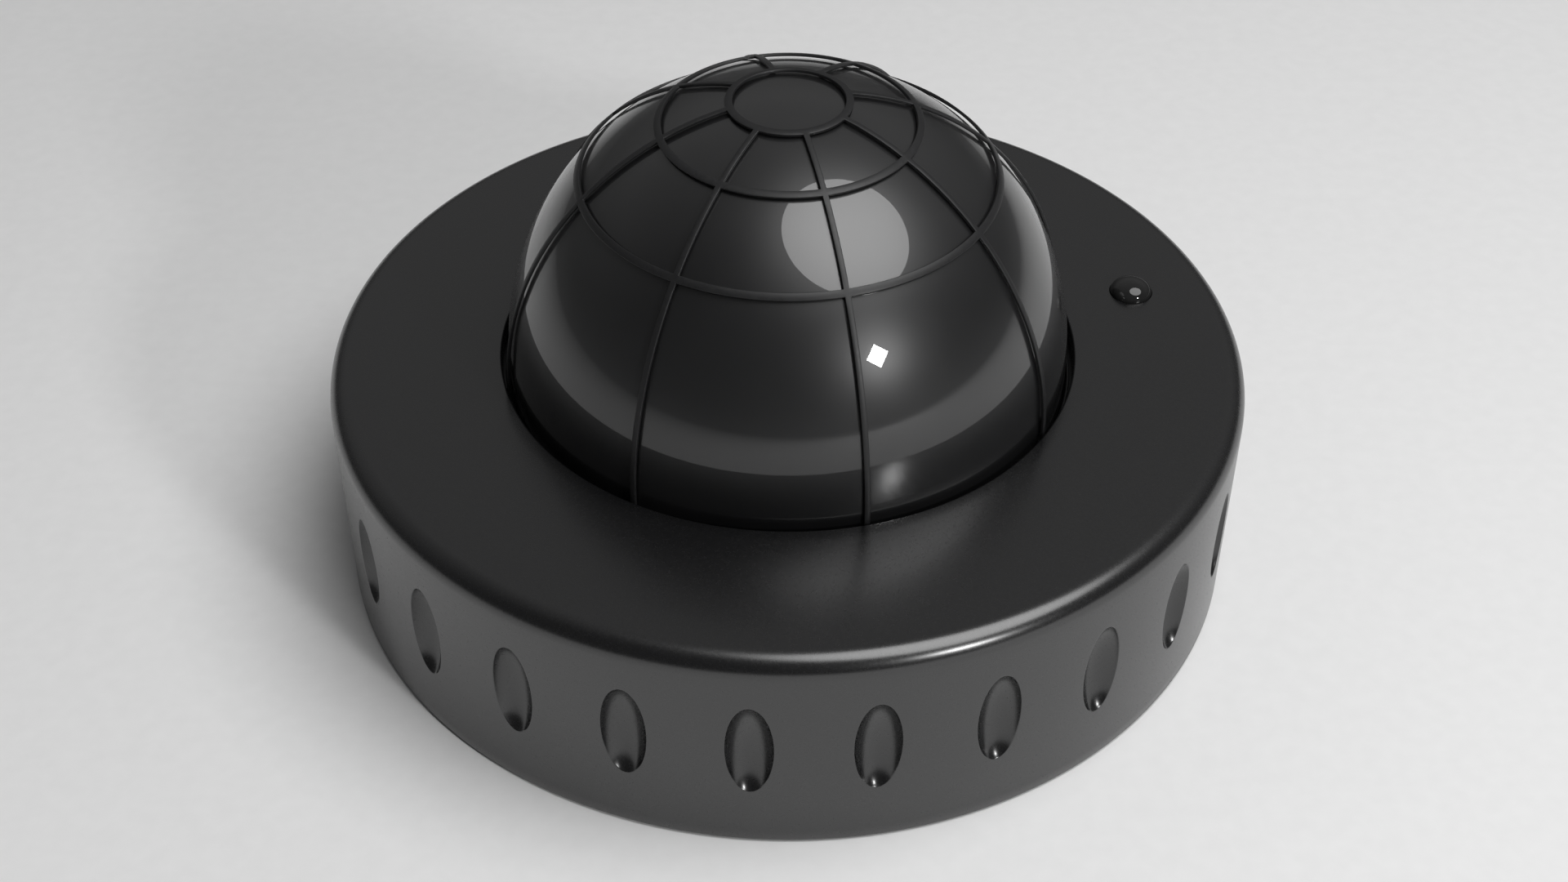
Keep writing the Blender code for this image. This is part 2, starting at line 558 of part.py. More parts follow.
def make_lens_ring(name, low, high, angle):
    """A grip ring on the barrel with flutes and a small lock screw."""
    grip = ring(name, BARREL_RADIUS + GAP, RING_RADIUS, low, high, MATTE_BLACK)
    middle = (low + high) / 2
    hole = rod(f"{name}_hole", 1.3, 9.0, 13.0)
    screw = screw_piece(f"{name}_lock", 1.7, (RING_RADIUS + GAP, RING_RADIUS + 2.2), 1.0, 9.3, STEEL)
    for piece in (hole, screw):
        piece.location = (0.0, 0.0, middle * MM)
        piece.rotation_euler = (0.0, radians(90), radians(angle))
    combine(grip, hole)
    return [grip, screw]


# Assembly: each moving body hangs on an empty that lies on its joint's axis
cover_pieces = [make_cover(), make_dome(), make_guard_cage()] + make_clamp_stack() + make_status_light()
child_of("cover_axis", (0, 0, 0), cover_pieces)
make_base_plate()
make_seals()
make_main_board()
make_connectors()
make_switches()
child_of("pan_axis", (0, 0, 0), [make_pan_parts()] + make_yoke("left", -1) + make_yoke("right", 1))
tilt_axis_at = (0, 0, TILT_AXIS_Z)
child_of("tilt_axis", tilt_axis_at, make_cradle())
child_of("lens_axis", tilt_axis_at, make_module() + make_lens())
zoom_pieces = make_lens_ring("zoom_ring", TILT_AXIS_Z + 10.1, TILT_AXIS_Z + 14.6, 40)
focus_pieces = make_lens_ring("focus_ring", TILT_AXIS_Z + 15.0, TILT_AXIS_Z + 20.2, 150)
child_of("zoom_axis", tilt_axis_at, zoom_pieces)
child_of("focus_axis", tilt_axis_at, focus_pieces)
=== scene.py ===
"""Looks of a dome security camera with a wire guard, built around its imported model.

Lengths are in millimetres unless a name ends in _M, and MM turns them into metres.
Angles are in degrees from +X, and -Y is the front.
"""
from math import asin, atan2, cos, hypot, pi, radians, sin, sqrt, tau

import bmesh
import bpy
from mathutils import Matrix, Vector


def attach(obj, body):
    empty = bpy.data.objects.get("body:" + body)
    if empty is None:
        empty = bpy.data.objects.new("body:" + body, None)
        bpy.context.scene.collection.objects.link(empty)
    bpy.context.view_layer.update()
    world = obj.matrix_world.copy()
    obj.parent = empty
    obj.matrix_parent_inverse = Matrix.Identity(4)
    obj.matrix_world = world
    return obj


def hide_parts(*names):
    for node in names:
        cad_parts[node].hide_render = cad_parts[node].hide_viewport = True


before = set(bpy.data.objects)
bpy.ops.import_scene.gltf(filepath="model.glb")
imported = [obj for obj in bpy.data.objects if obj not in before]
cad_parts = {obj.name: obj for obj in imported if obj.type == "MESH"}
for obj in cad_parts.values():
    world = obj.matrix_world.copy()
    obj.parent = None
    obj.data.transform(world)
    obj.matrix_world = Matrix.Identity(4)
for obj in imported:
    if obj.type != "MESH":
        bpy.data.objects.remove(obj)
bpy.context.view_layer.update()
MM = 0.001


# View: from the front and above, 40 degrees down, with a short telephoto lens held a hair off level.
CAMERA_AT_M = Vector((0.0, -0.28978, 0.25917))
LENS_LENGTH = 50.64
PITCH = 40.037
YAW = -0.108
ROLL = 0.272
view_camera = bpy.data.objects.new("view_camera", bpy.data.cameras.new("view_camera"))
view_camera.data.lens = LENS_LENGTH
view_camera.data.sensor_width = 36.0
view_camera.data.clip_start = 0.01
turned_right = Vector((cos(radians(YAW)), -sin(radians(YAW)), 0.0))
level = cos(radians(PITCH))
ahead = Vector((sin(radians(YAW)) * level, cos(radians(YAW)) * level, -sin(radians(PITCH))))
upward = turned_right.cross(ahead)
side = turned_right * cos(radians(ROLL)) + upward * sin(radians(ROLL))
rise = upward * cos(radians(ROLL)) - turned_right * sin(radians(ROLL))
aimed = Matrix((side, rise, -ahead)).transposed().to_4x4()
view_camera.matrix_world = Matrix.Translation(CAMERA_AT_M) @ aimed
bpy.context.scene.collection.objects.link(view_camera)
bpy.context.scene.camera = view_camera
bpy.context.scene.view_settings.view_transform = "Standard"


# Studio: a pale seamless sheet under a wide round softbox, which stands high at the right, and one small
# square lamp turned on its corner at the front right. Both are mirrored in the dome.
def linear(hex_colour):
    """Turn an sRGB hex colour into the linear RGBA that a shader takes."""
    parts = [int(hex_colour[i : i + 2], 16) / 255 for i in (1, 3, 5)]
    return [c / 12.92 if c <= 0.04045 else ((c + 0.055) / 1.055) ** 2.4 for c in parts] + [1.0]


def add_node(tree, kind, inputs=None, **settings):
    """Add a node with its settings, and set or link its inputs."""
    node = tree.nodes.new(kind)
    for key, value in settings.items():
        setattr(node, key, value)
    for socket, value in (inputs or {}).items():
        if isinstance(value, bpy.types.NodeSocket):
            tree.links.new(value, node.inputs[socket])
        else:
            node.inputs[socket].default_value = value
    return node


def new_material(name, **inputs):
    """A material with its Principled shader's plain inputs set. Returns it, its tree and the shader."""
    made = bpy.data.materials.new(name)
    made.use_nodes = True
    shader = made.node_tree.nodes["Principled BSDF"]
    for socket, value in inputs.items():
        shader.inputs[socket.replace("_", " ")].default_value = value
    return made, made.node_tree, shader


def varied(tree, shader, colours, roughness, scale, bump, detail=4.0):
    """Mottle a surface: noise of the given scale moves its colour, its roughness and a fine bump."""
    at = add_node(tree, "ShaderNodeTexCoord")
    noise = add_node(
        tree, "ShaderNodeTexNoise", {"Vector": at.outputs["Object"], "Scale": scale, "Detail": detail}
    )
    amount = noise.outputs["Fac"]
    tone = add_node(tree, "ShaderNodeValToRGB", {"Fac": amount})
    tone.color_ramp.elements[0].color = linear(colours[0])
    tone.color_ramp.elements[1].color = linear(colours[1])
    tone.color_ramp.elements[0].position = 0.3
    tone.color_ramp.elements[1].position = 0.7
    rough = add_node(
        tree,
        "ShaderNodeMapRange",
        {"Value": amount, "From Min": 0.3, "From Max": 0.7, "To Min": roughness[0], "To Max": roughness[1]},
    )
    relief = add_node(tree, "ShaderNodeBump", {"Height": amount, "Strength": 1.0, "Distance": bump * MM})
    tree.links.new(tone.outputs["Color"], shader.inputs["Base Color"])
    tree.links.new(rough.outputs["Result"], shader.inputs["Roughness"])
    tree.links.new(relief.outputs["Normal"], shader.inputs["Normal"])


# Seamless paper: matte off-white with a faint tooth, so that the shadows on it stay soft and plain.
seamless_paper, paper_tree, paper_shader = new_material("seamless_paper", Specular_IOR_Level=0.2)
varied(paper_tree, paper_shader, ("#ebebeb", "#eeeeee"), (0.8, 0.9), 300.0, 0.02)
FLOOR_RADIUS_M = 1.5
FLOOR_STEPS = 96
floor_mesh = bpy.data.meshes.new("floor")
turns = [radians(360 * step / FLOOR_STEPS) for step in range(FLOOR_STEPS)]
rim = [(FLOOR_RADIUS_M * cos(turn), FLOOR_RADIUS_M * sin(turn), 0.0) for turn in turns]
floor_mesh.from_pydata(rim, [], [range(FLOOR_STEPS)])
floor_mesh.materials.append(seamless_paper)
floor = bpy.data.objects.new("floor", floor_mesh)
bpy.context.scene.collection.objects.link(floor)


LIT_SPOT_M = Vector((0.0, 0.0, 0.04))


def area_light(name, azimuth, elevation, distance, power, shape, size, turn=0.0):
    """An area light aimed at the dome, in metres and watts. Azimuth runs from the front to the right."""
    away = Vector((0.0, -1.0, 0.0))
    away.rotate(Matrix.Rotation(radians(-elevation), 3, "X"))
    away.rotate(Matrix.Rotation(radians(azimuth), 3, "Z"))
    data = bpy.data.lights.new(name, "AREA")
    data.shape = shape
    data.size = size
    data.energy = power
    made = bpy.data.objects.new(name, data)
    aim = away.to_track_quat("Z", "Y").to_matrix() @ Matrix.Rotation(radians(turn), 3, "Z")
    made.matrix_world = Matrix.Translation(away * distance + LIT_SPOT_M) @ aim.to_4x4()
    bpy.context.scene.collection.objects.link(made)


area_light("round_softbox", 65.6, 66.9, distance=0.95, power=7.2, shape="DISK", size=0.823)
area_light("square_lamp", 38.4, 24.2, distance=0.9, power=2.4, shape="SQUARE", size=0.1, turn=45.0)

# The room's air is dark, with a glow that grows towards the back and upwards, as from a pale wall there.
AIR_GLOW = 0.07
BACK_GLOW = 0.18
FAR_WALL_GLOW = 0.18
studio_air = bpy.data.worlds.new("studio_air")
studio_air.use_nodes = True
bpy.context.scene.world = studio_air
air_tree = studio_air.node_tree
air_at = add_node(air_tree, "ShaderNodeTexCoord")
air_part = add_node(air_tree, "ShaderNodeSeparateXYZ", {0: air_at.outputs["Generated"]})
to_back = add_node(
    air_tree, "ShaderNodeMapRange", {"Value": air_part.outputs["Y"], "From Min": -0.3, "From Max": 0.7}
)
to_sky = add_node(
    air_tree,
    "ShaderNodeMapRange",
    {"Value": air_part.outputs["Z"], "From Min": 0.1, "From Max": 0.5, "To Max": BACK_GLOW},
)
back_wall = add_node(
    air_tree,
    "ShaderNodeMath",
    {0: to_back.outputs[0], 1: to_sky.outputs[0], 2: AIR_GLOW},
    operation="MULTIPLY_ADD",
)
# The far wall is seen pale where it shows behind the object, and is dark in the object's reflections.
seen = add_node(air_tree, "ShaderNodeLightPath")
far_wall = add_node(
    air_tree,
    "ShaderNodeMath",
    {0: seen.outputs["Is Camera Ray"], 1: FAR_WALL_GLOW, 2: back_wall.outputs[0]},
    operation="MULTIPLY_ADD",
)
air = air_tree.nodes["Background"]
air.inputs["Color"].default_value = linear("#ffffff")
air_tree.links.new(far_wall.outputs[0], air.inputs["Strength"])


# Cover: one injection-moulded shell of black ABS with 25 oval finger dimples around its wall. It holds
# the dome and guard from inside, and twists onto the base plate with four bayonet tabs.
COVER_RADIUS = 75.0
COVER_TOP = 37.8
COVER_RIM = 0.4
COVER_FILLET = 3.4
COVER_INNER = 72.0
COVER_UPPER_INNER = 70.6
WALL_STEP = (12.2, 13.6)
COVER_CEILING = 35.2
CEILING_ROUNDING = 1.8
OPENING_RADIUS = 47.0
OPENING_ROUNDING = 0.4
DIMPLE_COUNT = 25
DIMPLE_FIRST = -79.6
DIMPLE_HEIGHT = 20.0
DIMPLE_HALF_WIDTH = 3.6
DIMPLE_HALF_LENGTH = 8.8
DIMPLE_DEPTH = 2.7
SCOOP_RADIUS = 3.8
EDGE_SOFTNESS = 0.06
BAY_FOOT = 5.0
BAY_COLUMNS = 12
BAY_ROWS = 18
LED_CIRCLE = 59.8
LED_ANGLE = 13.3
LED_SEAT_RADIUS = 3.65
CLAMP_CIRCLE = 59.5
CLAMP_ANGLES = (45.0, 135.0, 225.0, 315.0)
BAYONET_ANGLES = (60.0, 150.0, 240.0, 330.0)
TAMPER_ANGLE = 215.0


def arc(centre, radius, start, end, count):
    """Points of an arc in the (r, z) plane, with angles from +r towards +z."""
    turns = [radians(start + (end - start) * i / count) for i in range(count + 1)]
    return [(centre[0] + radius * cos(t), centre[1] + radius * sin(t)) for t in turns]


def rounded(corners, radius, count=3):
    """Round the corners of a closed (r, z) outline. A corner's own third value, if any, is its radius."""
    points = []
    for i, corner in enumerate(corners):
        here = Vector(corner[:2])
        reach = corner[2] if len(corner) > 2 else radius
        if reach == 0:
            points.append(tuple(here))
            continue
        before = (Vector(corners[i - 1][:2]) - here).normalized()
        after = (Vector(corners[(i + 1) % len(corners)][:2]) - here).normalized()
        for k in range(count + 1):
            t = k / count
            spot = here + before * reach * (1 - t) ** 2 + after * reach * t**2
            points.append(tuple(spot))
    return points


def turn_profile(shape, profile, steps, start=0.0, closed=False):
    """Turn (r, z) points about Z into quads. Points run down the outer side, and r = 0 is a pole."""
    columns = []
    for r, z in profile:
        count = steps if r > 0 else 1
        turns = [radians(start) + tau * i / steps for i in range(count)]
        columns.append([shape.verts.new((r * cos(t) * MM, r * sin(t) * MM, z * MM)) for t in turns])
    pairs = list(zip(columns, columns[1:])) + ([(columns[-1], columns[0])] if closed else [])
    for upper, lower in pairs:
        for i in range(steps):
            j = (i + 1) % steps
            corners = [upper[i % len(upper)], lower[i % len(lower)]]
            corners += [lower[j % len(lower)], upper[j % len(upper)]]
            corners = [v for k, v in enumerate(corners) if v not in corners[:k]]
            if len(corners) > 2:
                shape.faces.new(corners)


def finished(name, shape, material, sharp=32.0):
    """A smooth-shaded object of a bmesh, with its doubles merged, at the origin."""
    bmesh.ops.remove_doubles(shape, verts=shape.verts, dist=0.002 * MM)
    mesh = bpy.data.meshes.new(name)
    shape.to_mesh(mesh)
    shape.free()
    mesh.shade_smooth()
    mesh.set_sharp_from_angle(angle=radians(sharp))
    if material:
        mesh.materials.append(material)
    made = bpy.data.objects.new(name, mesh)
    bpy.context.scene.collection.objects.link(made)
    return made


def settled(piece, sharp=32.0):
    """The piece as a plain mesh of what its modifiers make."""
    name = piece.name
    graph = bpy.context.evaluated_depsgraph_get()
    mesh = bpy.data.meshes.new_from_object(piece.evaluated_get(graph))
    bpy.data.objects.remove(piece)
    mesh.name = name
    mesh.shade_smooth()
    mesh.set_sharp_from_angle(angle=radians(sharp))
    made = bpy.data.objects.new(name, mesh)
    bpy.context.scene.collection.objects.link(made)
    return made


def round_array_tree():
    """Geometry Nodes that repeat a mesh around Z and weld the copies where they meet."""
    tree = bpy.data.node_groups.new("round_array", "GeometryNodeTree")
    for name, kind in (
        ("Geometry", "Geometry"), ("Count", "Int"), ("First Angle", "Float"),
        ("Weld Distance", "Float"), ("Material", "Material"),
    ):
        tree.interface.new_socket(name, in_out="INPUT", socket_type="NodeSocket" + kind)
    tree.interface.new_socket("Geometry", in_out="OUTPUT", socket_type="NodeSocketGeometry")
    given = add_node(tree, "NodeGroupInput").outputs
    points = add_node(tree, "GeometryNodeMeshLine", {"Count": given["Count"], "Offset": (0.0, 0.0, 0.0)})
    index = add_node(tree, "GeometryNodeInputIndex")
    step = add_node(tree, "ShaderNodeMath", {0: tau, 1: given["Count"]}, operation="DIVIDE")
    turn = add_node(
        tree,
        "ShaderNodeMath",
        {0: index.outputs[0], 1: step.outputs[0], 2: given["First Angle"]},
        operation="MULTIPLY_ADD",
    )
    axis_turn = add_node(tree, "ShaderNodeCombineXYZ", {"Z": turn.outputs[0]})
    rotation = add_node(tree, "FunctionNodeEulerToRotation", {0: axis_turn.outputs[0]})
    copies = add_node(
        tree,
        "GeometryNodeInstanceOnPoints",
        {"Points": points.outputs[0], "Instance": given["Geometry"], "Rotation": rotation.outputs[0]},
    )
    real = add_node(tree, "GeometryNodeRealizeInstances", {0: copies.outputs[0]})
    weld = add_node(
        tree, "GeometryNodeMergeByDistance", {"Geometry": real.outputs[0], "Distance": given["Weld Distance"]}
    )
    dressed = add_node(
        tree, "GeometryNodeSetMaterial", {"Geometry": weld.outputs[0], "Material": given["Material"]}
    )
    add_node(tree, "NodeGroupOutput", {0: dressed.outputs[0]})
    return tree


round_array = round_array_tree()


def repeated(piece, count, first_angle, material, weld=0.005, sharp=32.0):
    """Repeat a piece around Z with the round array, and settle it."""
    copies = piece.modifiers.new("around", "NODES")
    copies.node_group = round_array
    values = {"Count": count, "First Angle": radians(first_angle)}
    values |= {"Weld Distance": weld * MM, "Material": material}
    for item in round_array.interface.items_tree:
        if item.in_out == "INPUT" and item.name in values:
            copies[item.identifier] = values[item.name]
    return settled(piece, sharp)


def on_wall(x, z):
    """A point of the wall, x along its curve and z up from a dimple's centre, sunk by the scoop."""
    spread = hypot(x / DIMPLE_HALF_WIDTH, z / DIMPLE_HALF_LENGTH)
    squeeze = 1 - ((SCOOP_RADIUS - DIMPLE_DEPTH) / SCOOP_RADIUS) ** 2
    sink = SCOOP_RADIUS * sqrt(max(0.0, 1 - squeeze * spread**2)) - (SCOOP_RADIUS - DIMPLE_DEPTH)
    softness = EDGE_SOFTNESS if spread < 1.05 else 0.0
    depth = (sink + sqrt(sink**2 + softness**2)) / 2
    turn = x / COVER_RADIUS
    r = COVER_RADIUS - depth
    return (r * cos(turn) * MM, r * sin(turn) * MM, (DIMPLE_HEIGHT + z) * MM)


def wall_bay():
    """One bay of the wall: rings around an oval scoop that spread out to the bay's straight edges."""
    half = pi * COVER_RADIUS / DIMPLE_COUNT
    up = COVER_TOP - COVER_FILLET - DIMPLE_HEIGHT
    down = BAY_FOOT - DIMPLE_HEIGHT
    edge = [(half * (1 - 2 * i / BAY_COLUMNS), up) for i in range(BAY_COLUMNS)]
    edge += [(-half, up + (down - up) * i / BAY_ROWS) for i in range(BAY_ROWS)]
    edge += [(half * (2 * i / BAY_COLUMNS - 1), down) for i in range(BAY_COLUMNS)]
    edge += [(half, down + (up - down) * i / BAY_ROWS) for i in range(BAY_ROWS)]
    turns = [atan2(z / up if z > 0 else -z / down, x / half) for x, z in edge]
    oval = [(DIMPLE_HALF_WIDTH * cos(t), DIMPLE_HALF_LENGTH * sin(t)) for t in turns]
    inner = (0.12, 0.25, 0.38, 0.5, 0.61, 0.71, 0.8, 0.87, 0.92)
    inner += (0.955, 0.975, 0.988, 0.996, 1.003, 1.012, 1.03)
    rows = [[(x * share, z * share) for x, z in oval] for share in inner]
    for share in (0.02, 0.08, 0.22, 0.45, 0.72, 1.0):
        last = inner[-1] * (1 - share)
        pairs = zip(edge, oval)
        rows.append([(ox * last + x * share, oz * last + z * share) for (x, z), (ox, oz) in pairs])
    shape = bmesh.new()
    grid = [[shape.verts.new(on_wall(x, z)) for x, z in row] for row in rows]
    middle = shape.verts.new(on_wall(0.0, 0.0))
    for i in range(len(edge)):
        j = (i + 1) % len(edge)
        shape.faces.new((middle, grid[0][i], grid[0][j]))
        for near, far in zip(grid, grid[1:]):
            shape.faces.new((near[i], far[i], far[j], near[j]))
    return shape


def add_block(shape, low, high, angle):
    """Add a closed box to a bmesh, given as if it lay along +X, and turn it to its angle."""
    made = bmesh.ops.create_cube(shape, size=1.0)["verts"]
    size = Vector(high) - Vector(low)
    place = Matrix.Translation((Vector(high) + Vector(low)) / 2) @ Matrix.Diagonal((*size, 1.0))
    place = Matrix.Scale(MM, 4) @ Matrix.Rotation(radians(angle), 4, "Z") @ place
    bmesh.ops.transform(shape, matrix=place, verts=made)


def add_rod(shape, radius, low, high, circle, angle):
    """Add a closed upright cylinder to a bmesh, on a circle at an angle."""
    made = bmesh.ops.create_cone(
        shape, cap_ends=True, segments=32, radius1=radius, radius2=radius, depth=high - low
    )["verts"]
    place = Matrix.Rotation(radians(angle), 4, "Z") @ Matrix.Translation((circle, 0.0, (low + high) / 2))
    bmesh.ops.transform(shape, matrix=Matrix.Scale(MM, 4) @ place, verts=made)


def combined(piece, shapes, sharp=32.0):
    """Join and cut a piece with closed shapes, given as (operation, bmesh) pairs, and settle it."""
    tools = []
    for operation, shape in shapes:
        tool = finished("tool", shape, None)
        change = piece.modifiers.new(operation, "BOOLEAN")
        change.operation = operation
        change.solver = "EXACT"
        change.use_self = True
        change.object = tool
        tools.append(tool)
    made = settled(piece, sharp)
    for tool in tools:
        bpy.data.objects.remove(tool)
    return made


# Black ABS with a spark-eroded satin skin: a near-black with soft, slightly broken reflections. Its real
# grain is 0.1 mm, and it is drawn 0.4 mm coarse so that it shows.
satin_abs, abs_tree, abs_shader = new_material("satin_black_moulded_abs", IOR=1.8)
GRAIN = 0.4
varied(abs_tree, abs_shader, ("#0c0c0d", "#101011"), (0.24, 0.28), 1 / (GRAIN * MM), 0.0005)

cover_shape = wall_bay()
cover_wall = repeated(finished("cover_wall", cover_shape, satin_abs), DIMPLE_COUNT, DIMPLE_FIRST, satin_abs)
cover_shape = bmesh.new()
cover_shape.from_mesh(cover_wall.data)
bpy.data.objects.remove(cover_wall)
outline = [(COVER_RADIUS, BAY_FOOT), (COVER_RADIUS, 2.5), (COVER_RADIUS, COVER_RIM + 0.3)]
outline += [(COVER_RADIUS - 0.09, COVER_RIM + 0.09), (COVER_RADIUS - 0.3, COVER_RIM)]
outline += [(COVER_INNER + 0.3, COVER_RIM), (COVER_INNER, COVER_RIM + 0.3)]
outline += [(COVER_INNER, WALL_STEP[0]), (COVER_UPPER_INNER, WALL_STEP[1]), (COVER_UPPER_INNER, 24.0)]
ceiling_corner = (COVER_UPPER_INNER - CEILING_ROUNDING, COVER_CEILING - CEILING_ROUNDING)
outline += arc(ceiling_corner, CEILING_ROUNDING, 0, 90, 5)
outline += [(62.0, COVER_CEILING), (OPENING_RADIUS + 0.3, COVER_CEILING)]
outline += [(OPENING_RADIUS, COVER_CEILING + 0.3)]
lip_centre = (OPENING_RADIUS + OPENING_ROUNDING, COVER_TOP - OPENING_ROUNDING)
outline += arc(lip_centre, OPENING_ROUNDING, 180, 90, 5)
outline += [(r, COVER_TOP) for r in (49.5, 54.0, 60.0, 66.0)]
fillet_centre = (COVER_RADIUS - COVER_FILLET, COVER_TOP - COVER_FILLET)
outline += arc(fillet_centre, COVER_FILLET, 90, 0, 12)
turn_profile(cover_shape, outline, DIMPLE_COUNT * BAY_COLUMNS, DIMPLE_FIRST - 180 / DIMPLE_COUNT)
plain_cover = finished("cover_shell", cover_shape, satin_abs)

added = bmesh.new()
removed = bmesh.new()
POST_ROOT = COVER_CEILING + 0.5
BLOCK_ROOT = COVER_INNER + 0.8
CLAMP_POST = (3.6, 29.5)
CLAMP_HOLE = (1.75, 28.5, 34.6)
LED_POST_CIRCLE = LED_CIRCLE + 6.7
LED_POST = (2.4, 28.5)
LED_POST_HOLE = (1.3, 27.5, 34.4)
for angle in CLAMP_ANGLES:
    add_rod(added, *CLAMP_POST, POST_ROOT, CLAMP_CIRCLE, angle)
    add_rod(removed, *CLAMP_HOLE, CLAMP_CIRCLE, angle)
for angle in BAYONET_ANGLES:
    add_block(added, (68.9, -7.0, 6.0), (BLOCK_ROOT, 7.0, 9.0), angle)
add_block(added, (62.5, -2.0, 12.1), (BLOCK_ROOT, 2.0, 24.0), TAMPER_ANGLE)
add_rod(added, *LED_POST, POST_ROOT, LED_POST_CIRCLE, LED_ANGLE)
add_rod(removed, *LED_POST_HOLE, LED_POST_CIRCLE, LED_ANGLE)
led_seat = bmesh.new()
seat_low = COVER_TOP - 0.9
seat_outline = [(0, 39.0), (LED_SEAT_RADIUS, 39.0), (LED_SEAT_RADIUS, seat_low)]
seat_outline += [(2.5, seat_low), (2.5, 34.0), (0, 34.0)]
turn_profile(led_seat, seat_outline, 64)
led_place = Matrix.Rotation(radians(LED_ANGLE), 4, "Z") @ Matrix.Translation((LED_CIRCLE * MM, 0.0, 0.0))
bmesh.ops.transform(led_seat, matrix=led_place, verts=led_seat.verts)
cover_shell = combined(plain_cover, [("UNION", added), ("DIFFERENCE", removed), ("DIFFERENCE", led_seat)])
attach(cover_shell, "cover_unit")
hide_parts("cover")


# Guard: a cage of flat steel strip with three rings and eight bars, welded, rounded at its edges and
# powder coated matte black. Its flange is clamped under the cover, with the bars rising through the opening.
GUARD_RADIUS = 46.6
GUARD_THICKNESS = 0.5
GUARD_HALF_BAR = 0.45
GUARD_HALF_RING = 0.6
GUARD_BARS = 8
GUARD_FIRST_BAR = -75.0
GUARD_RINGS = (9.3, 20.3, 33.1)
GUARD_EDGE = 0.08
RING_COLUMNS = 9
ROW_STEP = radians(2.6)

# Powder-coated steel: near-black and matte, with the faint orange peel of the baked coat, 0.5 mm across.
powder_coat, coat_tree, coat_shader = new_material("matte_black_powder_coated_steel", IOR=1.5)
varied(coat_tree, coat_shader, ("#161617", "#1b1b1c"), (0.42, 0.5), 1 / (0.5 * MM), 0.004)


def guard_rows():
    """Rows of the cage from crown to foot, each a point (r, z) and whether a ring lies below it."""
    half = GUARD_HALF_RING / GUARD_RADIUS
    middles = [asin(r / GUARD_RADIUS) for r in GUARD_RINGS]
    turns = [(middle - half, middle + half) for middle in middles]
    rows = []
    for number, (start, end) in enumerate(turns):
        rows += [(start, True), ((start + end) / 2, True), (end, False)]
        last = turns[number + 1][0] if number + 1 < len(turns) else pi / 2
        steps = max(2, round((last - end) / ROW_STEP))
        rows += [(end + (last - end) * i / steps, False) for i in range(1, steps)]
    radius = GUARD_RADIUS
    points = [((radius * sin(t), COVER_TOP + radius * cos(t)), ringed) for t, ringed in rows]
    return points + [((radius, z), False) for z in (COVER_TOP, 36.0, 34.6, 33.3)]


def guard_bay():
    """One bar with the ring pieces beside it, as a single sheet on the cage's outer face."""
    half_bay = pi / GUARD_BARS
    shape = bmesh.new()
    rows = []
    for (r, z), ringed in guard_rows():
        lean = asin(GUARD_HALF_BAR / r)
        side = [lean + (half_bay - lean) * i / RING_COLUMNS for i in range(1, RING_COLUMNS + 1)]
        turns = [-t for t in reversed(side)] + [-lean, 0.0, lean] + side
        row = [shape.verts.new((r * cos(t) * MM, r * sin(t) * MM, z * MM)) for t in turns]
        rows.append((row, ringed))
    middle = RING_COLUMNS
    for (upper, ringed), (lower, _) in zip(rows, rows[1:]):
        columns = range(len(upper) - 1) if ringed else (middle, middle + 1)
        for i in columns:
            shape.faces.new((upper[i], lower[i], lower[i + 1], upper[i + 1]))
    bmesh.ops.delete(shape, geom=[v for v in shape.verts if not v.link_faces], context="VERTS")
    return shape


bay = finished("guard_bars", guard_bay(), powder_coat)
guard_bars = repeated(bay, GUARD_BARS, GUARD_FIRST_BAR, powder_coat)
wall = guard_bars.modifiers.new("strip thickness", "SOLIDIFY")
wall.thickness = GUARD_THICKNESS * MM
wall.offset = -1.0
soften = guard_bars.modifiers.new("rolled edges", "BEVEL")
soften.width = GUARD_EDGE * MM
soften.segments = 2
soften.limit_method = "ANGLE"
soften.angle_limit = radians(40)
guard_bars = settled(guard_bars, 50.0)
guard_shape = bmesh.new()
guard_shape.from_mesh(guard_bars.data)
bpy.data.objects.remove(guard_bars)
foot = [(GUARD_RADIUS, 34.3), (GUARD_RADIUS, 33.8, 0), (55.0, 33.8), (55.0, 32.4)]
foot += [(GUARD_RADIUS - GUARD_THICKNESS, 32.4), (GUARD_RADIUS - GUARD_THICKNESS, 34.3)]
turn_profile(guard_shape, rounded(foot, 0.25), 128, closed=True)
guard = finished("guard", guard_shape, powder_coat, 50.0)
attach(guard, "cover_unit")
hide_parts("guard_cage")


# Dome: a 2 mm shell of injection-moulded polycarbonate, dyed smoke grey and hard-coated, with a flat
# flange that the guard and two gaskets hold under the cover.
DOME_RADIUS = 45.8
DOME_WALL = 2.0
DOME_FLANGE = (55.0, 30.6, 32.1)

# Smoked polycarbonate: a mirror-sharp hard coat over a slightly hazy body, so that lamps show crisp with a
# soft glow round them, and what is inside only just shows.
smoked_dome, dome_tree, dome_shader = new_material(
    "smoked_polycarbonate", IOR=1.58, Alpha=0.92, Coat_Weight=1.0, Coat_Roughness=0.0, Coat_IOR=1.5
)
varied(dome_tree, dome_shader, ("#111112", "#141415"), (0.36, 0.4), 60.0, 0.0)

